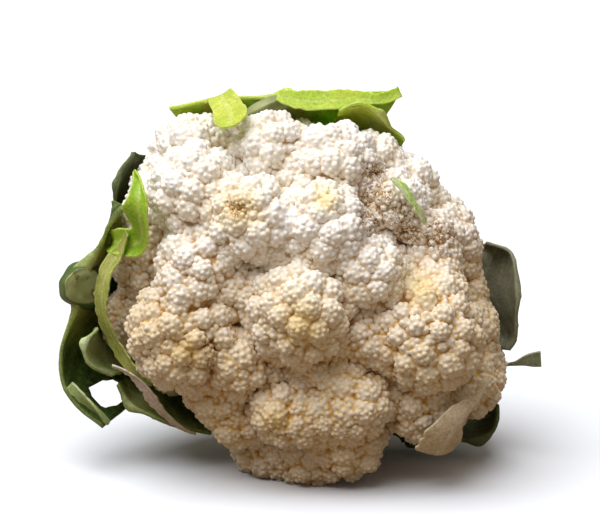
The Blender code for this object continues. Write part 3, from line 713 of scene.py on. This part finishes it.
def hollowness(mesh, passes, spots):
    """How far each vertex lies below the mean of what is round it, in millimetres, after some passes,
    and the vertices eased part of the way to the mean of their neighbours."""
    count = len(mesh.vertices)
    ends = np.empty(len(mesh.edges) * 2, dtype=np.int32)
    mesh.edges.foreach_get("vertices", ends)
    first, second = ends[::2], ends[1::2]
    links = np.maximum(np.bincount(first, minlength=count) + np.bincount(second, minlength=count), 1)
    normals = np.empty(count * 3, dtype=np.float32)
    mesh.vertices.foreach_get("normal", normals)
    normals = normals.reshape(-1, 3)
    mean = spots / MM
    found = []
    for done in range(1, max(passes) + 1):
        total = np.stack([
            np.bincount(first, mean[second, i], count) + np.bincount(second, mean[first, i], count)
            for i in range(3)
        ], axis=1)
        mean = total / links[:, None]
        if done == 1:
            eased = spots + (mean * MM - spots) * EASE
        if done in passes:
            found.append(((mean - spots / MM) * normals).sum(axis=1))
    return *found, eased


def finish_curd(obj, centres, radii, material):
    """Paints the places the curd's colour follows, painted shade among them, and sets the piece on the frame.
    """
    mesh = obj.data
    spots = coordinates(mesh)
    fine, broad, eased = hollowness(mesh, (3, 30), spots)
    head = unplace(spots)
    spots[:] = eased
    spots[:, 2] = np.maximum(spots[:, 2], 0)
    set_coordinates(mesh, spots)
    gaps = np.linalg.norm(head[:, None] - centres[None], axis=2) - radii[None]
    gaps.sort(axis=1)
    seam = smooth_step(1 - (gaps[:, 1] - 1.0) / 5.0)
    sunk = smooth_step((1.5 - gaps[:, 0]) / 4.0)
    # Painted shade: the fine creases and the hollows between florets, which the curd's colour turns ochre
    set_attribute(mesh, "crease", smooth_step((fine + 0.04) / 0.2))
    set_attribute(mesh, "hollow", smooth_step((broad + 0.1) / 0.9) * 0.6 + 0.75 * seam * sunk)
    # Painted shade: the lower side, and the rim florets below the crown, darker and yellower
    low = smooth_step((SHADE_ABOVE - head[:, 1]) / SHADE_REACH)
    outer = smooth_step((np.hypot(head[:, 0], head[:, 1]) - RIM_SHADE_FROM) / RIM_SHADE_REACH)
    under = smooth_step((RIM_SHADE_BELOW - head[:, 1]) / RIM_SHADE_FADE)
    set_attribute(mesh, "shaded", low + RIM_SHADE_SHARE * outer * under)
    for name, marks in (("ripe", RIPE_SPOTS), ("stain", STAINS)):
        level = np.zeros(len(spots))
        for across, up, reach in marks:
            away = np.hypot(head[:, 0] - across, head[:, 1] - up) / reach
            level = np.maximum(level, np.exp(-(away**2)) * (head[:, 2] > 0))
        set_attribute(mesh, name, level)
    finish(obj, material, "curd", "curd")


def finish(obj, material, slot, *nodes):
    """Smooth shading, a material, and the piece's place in the frame."""
    mesh = obj.data
    mesh.polygons.foreach_set("use_smooth", np.ones(len(mesh.polygons), dtype=bool))
    mesh.materials.clear()
    mesh.materials.append(material)
    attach(obj, "root")
    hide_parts(*nodes)


def saddles(centres, radii):
    """Small florets set back between every two neighbours, so that no gap opens between them."""
    spots = []
    for i in range(len(centres)):
        for j in range(i):
            away = np.linalg.norm(centres[i] - centres[j])
            if away > radii[i] + radii[j] + SADDLE_NEAR:
                continue
            share = (away + radii[i] - radii[j]) / (2 * away)
            middle = centres[i] + (centres[j] - centres[i]) * share
            height = math.sqrt(max(0.0, radii[i] ** 2 - (away * share) ** 2))
            outward = unit(middle - ROOT)
            spots.append(middle + outward * (height - SADDLE_BACK - SADDLE_RADIUS * 0.6))
    return np.array(spots)


def branch_of(centre):
    """The branch that carries a floret: two in the middle of the crown, the rest in turn round it."""
    if math.hypot(centre[0], centre[1]) < MIDDLE_RING:
        return "upper" if centre[1] > 0 else "lower"
    return round((math.atan2(centre[1], centre[0]) % (2 * math.pi)) / (2 * math.pi) * SECTORS) % SECTORS


def make_curd(material):
    """The curd, one piece for each branch of florets."""
    rng = np.random.default_rng(SEED)
    centres, radii = florets()
    fillers = saddles(centres, radii)
    centres = np.vstack((centres, fillers))
    radii = np.append(radii, np.full(len(fillers), SADDLE_RADIUS))
    group = join_balls_group(VOXEL)
    branches = {}
    for index, centre in enumerate(centres):
        branches.setdefault(branch_of(centre), []).append(floret_balls(index, centres, radii, rng))
    for name, balls in branches.items():
        places, sizes = zip(*balls)
        obj = joined(f"curd_branch_{name}", np.vstack(places), np.concatenate(sizes), group)
        spots = coordinates(obj.data)
        spots[:, 2] = np.maximum(spots[:, 2], 0)
        set_coordinates(obj.data, spots)
        offset = unplace(spots) - STAR
        distance = np.linalg.norm(offset, axis=1)
        reach = star_reach(offset / distance[:, None], centres, radii * CORE_SHARE, STAR)
        close_at_root(obj.data, distance < HIDDEN_SHARE * reach, place(ROOT + (0, 0, 20)))
        finish_curd(obj, centres, radii, material)


def make_stems(material):
    """The stems behind the florets: a heart, two rings of swellings and a branch out to each rim floret."""
    centres, radii = florets()
    balls = [(STAR, HEART_RADIUS)]
    for count, ring, out, radius in STEM_RINGS:
        for k in range(count):
            angle = 2 * math.pi * k / count
            balls.append((np.array((ring * math.cos(angle), ring * math.sin(angle), out)), radius * 0.86))
    for centre, radius in zip(centres, radii):
        steps = np.linspace(0, 1, BRANCH_STEPS)[:, None]
        fork = np.array((centre[0] * 0.3, centre[1] * 0.3, -40.0))
        for spot, share in zip(fork + (centre - fork) * steps, steps[:, 0]):
            balls.append((spot, BRANCH_RADIUS + (radius * 0.8 - BRANCH_RADIUS) * share**2))
    places, sizes = (np.array(column) for column in zip(*balls))
    obj = joined("curd_stems", places, sizes, join_balls_group(STEM_VOXEL))
    spots = unplace(coordinates(obj.data))
    spots[:, 2] = np.maximum(spots[:, 2], CURD_BACK)
    world = place(spots)
    world[:, 2] = np.maximum(world[:, 2], 0)
    set_coordinates(obj.data, world)
    finish(obj, material, "curd", "curd")


# The leaves

def rim_reach(centres, radii):
    """A function of azimuth: how far the convex outline of the heads reaches from the stalk's axis."""
    turns = np.linspace(0, 2 * math.pi, 181)[:-1]
    support = np.max(
        centres[:, :1] * np.cos(turns) + centres[:, 1:2] * np.sin(turns) + radii[:, None], axis=0)

    def reach(angles):
        lean = np.cos(angles[..., None] - turns)
        return np.min(np.where(lean > 0.2, support / np.maximum(lean, 0.2), 1000.0), axis=-1)

    return reach


def spline(values, at):
    """A smooth curve through evenly spaced values, read at places from 0 to 1."""
    values = np.asarray(values, dtype=float)
    last = len(values) - 1
    place_on = np.clip(at, 0, 1) * last
    index = np.minimum(place_on.astype(int), last - 1)
    share = (place_on - index).reshape(place_on.shape + (1,) * (values.ndim - 1))
    padded = np.concatenate((2 * values[:1] - values[1:2], values, 2 * values[-1:] - values[-2:-1]))
    p0, p1, p2, p3 = (padded[index + i] for i in range(4))
    slope_in, slope_out = (p2 - p0) / 2, (p3 - p1) / 2
    square, cube = share**2, share**3
    return (
        (2 * cube - 3 * square + 1) * p1 + (cube - 2 * square + share) * slope_in
        + (3 * square - 2 * cube) * p2 + (cube - square) * slope_out
    )


def shell(turn, along, lift, edge):
    """Ring and out of the shell that lies the given lift over the bare one."""
    reach = edge(turn)
    weights = ((1 - along) ** 3, 3 * along * (1 - along) ** 2, 3 * along**2 * (1 - along), along**3)
    ring, out = 0.0, 0.0
    for weight, (share, extra, back), (wider, deeper) in zip(weights, SHELL_KNOTS, SHELL_LIFT):
        ring = ring + weight * (share * reach + extra + wider * lift)
        out = out + weight * (back + deeper * lift)
    return ring, out


def clear_of_curd(points, balls, gap):
    """Points moved straight away from the star point until they and what is near clear the curd."""
    centres, radii = balls
    offset = points - STAR
    distance = np.linalg.norm(offset, axis=1)
    directions = offset / distance[:, None]
    wanted = star_reach(directions, centres, radii, STAR)
    beside = unit(np.cross(directions, np.array((0.31, 0.95, 0.0))))
    above = np.cross(directions, beside)
    for cone in CLEAR_CONES:
        for k in range(CLEAR_RAYS):
            angle = 2 * math.pi * k / CLEAR_RAYS
            leaning = unit(directions + cone * (beside * math.cos(angle) + above * math.sin(angle)))
            wanted = np.maximum(wanted, star_reach(leaning, centres, radii, STAR))
    return STAR + directions * np.maximum(distance, wanted + gap)[:, None]


class Cover:
    """How much lift the leaves placed so far take up, by turn round the axis and place along the shell."""

    def __init__(self):
        self.turns, self.steps = SHELL_STEPS
        self.height = np.zeros(SHELL_STEPS)

    def cells(self, turn, along):
        columns = np.round(turn / (2 * math.pi) * self.turns).astype(int) % self.turns
        rows = np.clip(np.round(along * (self.steps - 1)), 0, self.steps - 1).astype(int)
        return columns, rows

    def lift_at(self, turn, along, spread):
        """The most lift taken up within a few cells of each place."""
        columns, rows = self.cells(turn, along)
        most = np.zeros_like(turn)
        for across in range(-spread, spread + 1):
            for ahead in range(-1, 2):
                near = np.clip(rows + ahead, 0, self.steps - 1)
                most = np.maximum(most, self.height[(columns + across) % self.turns, near])
        return most

    def add(self, turn, along, top):
        columns, rows = self.cells(turn, along)
        for across in range(-1, 2):
            for ahead in (0, 1):
                near = np.clip(rows + ahead, 0, self.steps - 1)
                np.maximum.at(self.height, ((columns + across) % self.turns, near), top)


def smoothed(grid, passes):
    """A grid of values averaged with their neighbours, never sinking under the values given."""
    given = grid
    for _ in range(passes):
        padded = np.pad(grid, 1, mode="edge")
        grid = (padded[:-2, 1:-1] + padded[2:, 1:-1] + padded[1:-1, :-2] + padded[1:-1, 2:] + 4 * grid) / 8
        grid = np.maximum(grid, given)
    return grid


def ridge(leaf, s, t):
    """How much of the rib there is at each place, from 0 on the blade to 1 along the rib."""
    rib_half = RIB_HALF * (1 - RIB_TAPER * s)
    return np.exp(-(((t - leaf.rib_at * s) / rib_half) ** 2))


def rib_thickness(leaf, s, t):
    rib = leaf.rib * (1 + (leaf.rib_end - 1) * s)
    return leaf.blade + (rib - leaf.blade) * ridge(leaf, s, t)


def cage_places(rows, columns):
    """s from the stalk to the cut end and t across, over the cells of a coarse cage."""
    s, t = np.meshgrid(np.linspace(0, 1, rows + 1), np.linspace(-1, 1, columns + 1))
    return s, np.sign(t) * np.abs(t) ** RIB_CROWDING


def leaf_cage(leaf, edge, cover, balls):
    """Inner face of a leaf, as a coarse cage wrapped round the back of the head."""
    s, t = cage_places(LEAF_ROWS, LEAF_COLUMNS)
    ends = spline(leaf.end, (t + 1) / 2)
    end_turn = np.radians(ends[..., 0])
    rising = 1 if leaf.end[-1][0] > leaf.end[0][0] else -1
    base_turn = math.radians(leaf.rib_turn) + rising * t * BASE_HALF / SHELL_KNOTS[0][1]
    spread = 0.75 * smooth_step(1.1 * s) + 0.25 * s
    turn = base_turn + (end_turn - base_turn) * spread
    thick = rib_thickness(leaf, s, t)
    lift = smoothed(cover.lift_at(turn, s, LIFT_SPREAD), LIFT_PASSES) + LEAF_GAP
    cover.add(turn, s, lift + thick)
    flare = smooth_step((s - FLARE_START) / (1 - FLARE_START)) ** FLARE_POWER
    wave = leaf.wave * flare * np.abs(t) ** 1.5 * np.sin(WAVE_ALONG * s + WAVE_ACROSS * t + leaf.rib_turn)
    shell_ring, shell_out = shell(turn, s, lift * (1 - flare), edge)
    rim_ring, rim_out = shell(end_turn, np.ones_like(s), np.zeros_like(s), edge)
    ring = shell_ring + flare * (ends[..., 1] - rim_ring) + wave
    out = shell_out + flare * (ends[..., 2] - rim_out)
    points = np.stack((ring * np.cos(turn), ring * np.sin(turn), out), axis=-1)
    return clear_of_curd(points.reshape(-1, 3), balls, CURD_GAP).reshape(points.shape)


def bract_cage(bract, balls):
    """Middle of a small leaf laid over the curd along its path, turned about it by its roll."""
    s, t = cage_places(BRACT_ROWS, BRACT_COLUMNS)
    path = spline(bract.path, s)
    step = 0.01
    tangent = unit((spline(bract.path, s + step) - spline(bract.path, s - step))[..., :3])
    side = unit(np.cross(tangent, path[..., :3] - STAR))
    lifted = np.cross(side, tangent)
    roll = np.radians(path[..., 4])[..., None]
    reach = (t * path[..., 3])[..., None]
    cup = (bract.cup * t**2)[..., None]
    points = path[..., :3] + reach * (side * np.cos(roll) + lifted * np.sin(roll)) + cup * lifted
    cleared = clear_of_curd(points.reshape(-1, 3), balls, CURD_GAP).reshape(points.shape)
    push = (np.linalg.norm(cleared - STAR, axis=-1) - np.linalg.norm(points - STAR, axis=-1)).max(axis=0)
    return points + unit(points - STAR) * push[None, :, None]


def fine_grid(cage, fineness):
    """A bmesh grid that follows the cage smoothly, with its s and t, in rows of s for each t."""
    columns, rows = cage.shape[0] - 1, cage.shape[1] - 1
    bm = bmesh.new()
    bmesh.ops.create_grid(bm, x_segments=rows * fineness, y_segments=columns * fineness, size=1)
    flat = np.array([v.co for v in bm.verts])
    s, even = (flat[:, 0] + 1) / 2, (flat[:, 1] + 1) / 2
    steps = np.linspace(0, 1, rows * fineness + 1)
    along = spline(cage.transpose(1, 0, 2), steps)
    both = spline(along.transpose(1, 0, 2), np.linspace(0, 1, columns * fineness + 1))
    t = 2 * even - 1
    return bm, s, np.sign(t) * np.abs(t) ** RIB_CROWDING, both.reshape(-1, 3)


def side_veins(s, t, rib_at, length, half_width):
    """Height from 0 to 1 of the side veins that leave the rib on both sides towards the cut end."""
    across = (t - rib_at * s) * half_width
    along = s * length - np.abs(across) * VEIN_SLOPE + 1.5 * np.sin(across / 4 + 5 * s)
    phase = along / VEIN_STEP + np.where(across > 0, 0.5, 0.0)
    away = np.abs(phase - np.round(phase)) * VEIN_STEP / math.hypot(1, VEIN_SLOPE)
    return np.exp(-((away / VEIN_WIDTH) ** 2)) * np.clip(1.3 - np.abs(across) / half_width, 0, 1)


def finish_blade(name, node, look, bm, points, thick, offset, painted, materials, slot, torn=None):
    """Turns a placed grid into one closed leaf of the given thickness, with its cut edge in flesh."""
    for vert, spot in zip(bm.verts, place(points)):
        vert.co = spot
    if torn is not None:
        keeps = ~torn
        painted = {layer: values[keeps] for layer, values in painted.items()}
        thick = thick[keeps]
        bm.verts.ensure_lookup_table()
        lost = [bm.verts[int(i)] for i in np.flatnonzero(torn)]
        rim = {other for vert in lost for edge in vert.link_edges for other in edge.verts} - set(lost)
        bmesh.ops.delete(bm, geom=lost, context="VERTS")
        for _ in range(TEAR_PASSES):
            beside = {
                v: [e.other_vert(v).co for e in v.link_edges if e.is_boundary] for v in rim if v.is_valid}
            means = {v: sum(near, Vector()) / len(near) for v, near in beside.items() if len(near) == 2}
            for vert, mean in means.items():
                vert.co = vert.co.lerp(mean, 0.6)
    bm.normal_update()
    middle = Vector(place(STAR))
    outward = sum((face.calc_center_median() - middle).dot(face.normal) for face in bm.faces)
    if outward < 0:
        bmesh.ops.reverse_faces(bm, faces=bm.faces)
    mesh = bpy.data.meshes.new(name)
    bm.to_mesh(mesh)
    bm.free()
    for layer, values in painted.items():
        set_attribute(mesh, layer, values)
    obj = bpy.data.objects.new(name, mesh)
    bpy.context.scene.collection.objects.link(obj)
    group = obj.vertex_groups.new(name="thickness")
    for index, weight in enumerate(thick / thick.max()):
        group.add([index], float(weight), "REPLACE")
    solidify = obj.modifiers.new("blade", "SOLIDIFY")
    solidify.thickness = float(thick.max()) * MM
    solidify.offset = offset
    solidify.vertex_group = group.name
    solidify.thickness_vertex_group = 0
    solidify.material_offset_rim = 1
    graph = bpy.context.evaluated_depsgraph_get()
    solid = bpy.data.meshes.new_from_object(obj.evaluated_get(graph), depsgraph=graph)
    obj.modifiers.clear()
    obj.data = solid
    spots = coordinates(solid)
    spots[:, 2] = np.maximum(spots[:, 2], 0)
    set_coordinates(solid, spots)
    normals = np.empty(len(solid.vertices) * 3, dtype=np.float32)
    solid.vertices.foreach_get("normal", normals)
    facing = (normals.reshape(-1, 3) * unit(spots - place(STAR))).sum(axis=1)
    inner = smooth_step(0.5 - 2 * facing)
    # Painted light and shade: the left leaf's inner side is bright only high up, in its dark outer colours
    # below
    if name == "leaf_left":
        inner = inner * smooth_step((unplace(spots)[:, 1] - LIT_ABOVE) / LIT_FADE)
    set_attribute(solid, "inner", inner)
    finish(obj, materials[look], slot, node)
    solid.materials.append(materials["flesh"])


def make_leaf(leaf, edge, cover, balls, materials):
    """A trimmed leaf: a thick rib, side veins and a rippled blade, wrapped round the back of the head."""
    cage = leaf_cage(leaf, edge, cover, balls)
    bm, s, t, points = fine_grid(cage, LEAF_FINENESS)
    length = np.linalg.norm(np.diff(cage[LEAF_COLUMNS // 2], axis=0), axis=1).sum()
    half_width = np.linalg.norm(np.diff(cage[:, -1], axis=0), axis=1).sum() / 2
    veins = side_veins(s, t, leaf.rib_at, length, half_width) * smooth_step(2 * s)
    rib = ridge(leaf, s, t)
    ripple = smooth_step((np.abs(t) - 0.55) / 0.45) * smooth_step(3 * s - 0.9)
    outward = unit(points - STAR)
    swing = 0.9 * np.sin(0.62 * s * length + 3 * t) + 0.5 * np.sin(1.3 * s * length + 1.7)
    points = points + outward * (ripple * np.maximum(swing, -0.3))[:, None]
    thick = rib_thickness(leaf, s, t) + VEIN_RISE * veins
    world = place(points)
    world[:, 2] = np.maximum(world[:, 2], thick * MM)
    painted = {"rib": rib * smooth_step(leaf.rib / 6), "vein": veins, "edge": smooth_step((s - 0.975) / 0.02)}
    torn = None
    if leaf.name == "leaf_left":
        across, up, half_across, half_up = TEAR
        rough = 1 + 0.25 * np.sin(1.9 * points[:, 0]) * np.sin(2.3 * points[:, 1] + 1)
        torn = np.hypot((points[:, 0] - across) / half_across, (points[:, 1] - up) / half_up) < rough
    finish_blade(
        leaf.name, leaf.name, leaf.look, bm, unplace(world), thick, 1, painted, materials, "leaf", torn)


def make_bract(bract, balls, materials):
    """A small leaf or a torn strip, with an edge as ragged as asked."""
    cage = bract_cage(bract, balls)
    bm, s, t, points = fine_grid(cage, BRACT_FINENESS)
    middle = spline(cage[BRACT_COLUMNS // 2], s)
    along = s * np.linalg.norm(np.diff(cage[BRACT_COLUMNS // 2], axis=0), axis=1).sum()
    rng = np.random.default_rng(SEED)
    swing = np.zeros_like(s)
    for side in (-1, 1):
        notches = rng.uniform(-1, 0.6, int(along.max() / NOTCH_STEP) + 3)
        depths = np.interp(along / NOTCH_STEP, np.arange(len(notches)), notches)
        swing = np.where(np.sign(t) == side, depths, swing)
    points = middle + (points - middle) * (1 + 0.5 * bract.ragged * t**2 * swing)[:, None]
    veins = np.exp(-((t / 0.12) ** 2))
    painted = {"rib": 0.3 * veins, "vein": 0.5 * veins, "edge": smooth_step((np.abs(t) - 0.85) / 0.15)}
    slot = "pale_leaf" if bract.look == "papery" else "leaf"
    thick = np.full_like(s, bract.thick)
    finish_blade(bract.name, bract.node, bract.look, bm, points, thick, 0, painted, materials, slot)


def make_butt(butt):
    """The end of a thick rib: a rounded lump, with a flat cut face where it is cut through."""
    bm = bmesh.new()
    bmesh.ops.create_icosphere(bm, subdivisions=5, radius=1)
    facing = unit(np.array(butt.facing))
    spots = np.array([v.co for v in bm.verts])
    lumps = 1 + 0.04 * np.sin(3 * spots[:, 0] + 1) * np.sin(4 * spots[:, 1]) + 0.02 * np.sin(9 * spots[:, 1])
    spots = spots * butt.half * lumps[:, None]
    lean = math.radians(butt.lean)
    turn = np.array(((math.cos(lean), math.sin(lean)), (-math.sin(lean), math.cos(lean))))
    spots[:, :2] = spots[:, :2] @ turn
    spots[:, 0] -= butt.slant * np.minimum(spots[:, 2], 0)
    sink = np.maximum(spots @ facing - butt.cut, 0)
    dent = 0.25 * np.sin(0.9 * spots[:, 0]) * np.sin(0.8 * spots[:, 1] + 1)
    spots -= facing * (sink - np.where(sink > 0, dent + 0.12 * sink, 0))[:, None]
    for vert, spot in zip(bm.verts, place(spots + butt.middle)):
        vert.co = spot
    mesh = bpy.data.meshes.new(butt.name)
    bm.to_mesh(mesh)
    bm.free()
    set_attribute(mesh, "cut", smooth_step(sink / 0.5))
    obj = bpy.data.objects.new(butt.name, mesh)
    bpy.context.scene.collection.objects.link(obj)
    finish(obj, butt_material(butt.look, *BUTT_LOOKS[butt.look]), "leaf", butt.node)


def make_leaves(balls):
    centres, radii = florets()
    edge = rim_reach(centres, radii)
    cover = Cover()
    materials = {look: leaf_material(look + " leaf blade", *colours) for look, colours in LEAF_LOOKS.items()}
    materials["flesh"] = flesh_material()
    for leaf in LEAVES:
        make_leaf(leaf, edge, cover, balls, materials)
    for bract in BRACTS:
        make_bract(bract, balls, materials)
    for butt in BUTTS:
        make_butt(butt)


def curd_outside():
    """Balls that stand for the outside of the curd, which the leaves keep clear of."""
    centres, radii = florets()
    balls = [(STAR, HEART_RADIUS)] + list(zip(centres, radii + BUD_OUTSIDE))
    for count, ring, out, radius in STEM_RINGS:
        for k in range(count):
            angle = 2 * math.pi * k / count
            balls.append((np.array((ring * math.cos(angle), ring * math.sin(angle), out)), radius))
    return np.array([b[0] for b in balls]), np.array([b[1] for b in balls], dtype=float)


def make_stalk(material):
    """The cut stalk, turned from its profile and set face to face with the curd's flat back."""
    bm = bmesh.new()
    verts = [bm.verts.new((radius, 0, out)) for out, radius in STALK_PROFILE]
    edges = [bm.edges.new(pair) for pair in zip(verts, verts[1:])]
    bmesh.ops.spin(
        bm, geom=verts + edges, axis=(0, 0, 1), cent=(0, 0, 0), angle=2 * math.pi, steps=STALK_STEPS,
        use_merge=True)
    bmesh.ops.remove_doubles(bm, verts=bm.verts, dist=0.01)
    bmesh.ops.recalc_face_normals(bm, faces=bm.faces)
    spots = np.array([v.co for v in bm.verts])
    turn, ring = np.arctan2(spots[:, 1], spots[:, 0]), np.hypot(spots[:, 0], spots[:, 1])
    spots[:, :2] *= (1 + 0.035 * np.sin(2 * turn + 0.6) + 0.02 * np.sin(5 * turn))[:, None]
    cut = (spots[:, 2] < -83) * smooth_step((20.3 - ring) / 1.2)
    for vert, spot in zip(bm.verts, place(spots)):
        vert.co = spot
    mesh = bpy.data.meshes.new("stalk")
    bm.to_mesh(mesh)
    bm.free()
    set_attribute(mesh, "cut", cut)
    set_attribute(mesh, "ring", np.exp(-(((ring - 13) / 3.5) ** 2)))
    obj = bpy.data.objects.new("stalk_cut", mesh)
    bpy.context.scene.collection.objects.link(obj)
    finish(obj, material, "stalk", "stalk")


def set_stage():
    """A flat floor that is shown pale, one big soft light overhead and a warm fill all round."""
    bm = bmesh.new()
    bmesh.ops.create_grid(bm, x_segments=1, y_segments=1, size=40)
    mesh = bpy.data.meshes.new("floor")
    bm.to_mesh(mesh)
    bm.free()
    floor = bpy.data.objects.new("floor", mesh)
    bpy.context.scene.collection.objects.link(floor)
    material, tree, shader = new_material("pale floor")
    seen = add_node(tree, "ShaderNodeLightPath", out="Is Camera Ray")
    colour = add_node(tree, "ShaderNodeMix", {SHARE: seen, UNDER: FLOOR_BOUNCE, OVER: FLOOR_SHOWN}, MIXED,
                      data_type="RGBA")
    feed(tree, shader, {"Base Color": colour, "Roughness": 0.9})
    mesh.materials.append(material)
    world = bpy.data.worlds.new("studio")
    bpy.context.scene.world = world
    world.use_nodes = True
    background = world.node_tree.nodes["Background"]
    background.inputs["Color"].default_value = linear(FILL_COLOUR)
    background.inputs["Strength"].default_value = WORLD_LIGHT
    for name, towards, softness, strength in SUNS:
        lamp = bpy.data.lights.new(name, "SUN")
        lamp.angle = math.radians(softness)
        lamp.energy = strength
        obj = bpy.data.objects.new(name, lamp)
        obj.rotation_euler = Vector(towards).to_track_quat("Z", "Y").to_euler()
        bpy.context.scene.collection.objects.link(obj)
    bpy.context.scene.view_settings.view_transform = "Standard"


def set_camera():
    camera = bpy.data.cameras.new("camera")
    camera.sensor_width = 36
    camera.lens = 36 * CAMERA_AWAY / FRAME_WIDTH
    obj = bpy.data.objects.new("camera", camera)
    obj.location = place(np.array(CAMERA_TARGET) + (0, 0, CAMERA_AWAY))
    obj.rotation_euler = Vector(-OUT).to_track_quat("-Z", "Y").to_euler()
    bpy.context.scene.collection.objects.link(obj)
    bpy.context.scene.camera = obj


make_curd(curd_material())
make_stems(stem_material())
make_stalk(stalk_material())
make_leaves(curd_outside())
set_stage()
set_camera()
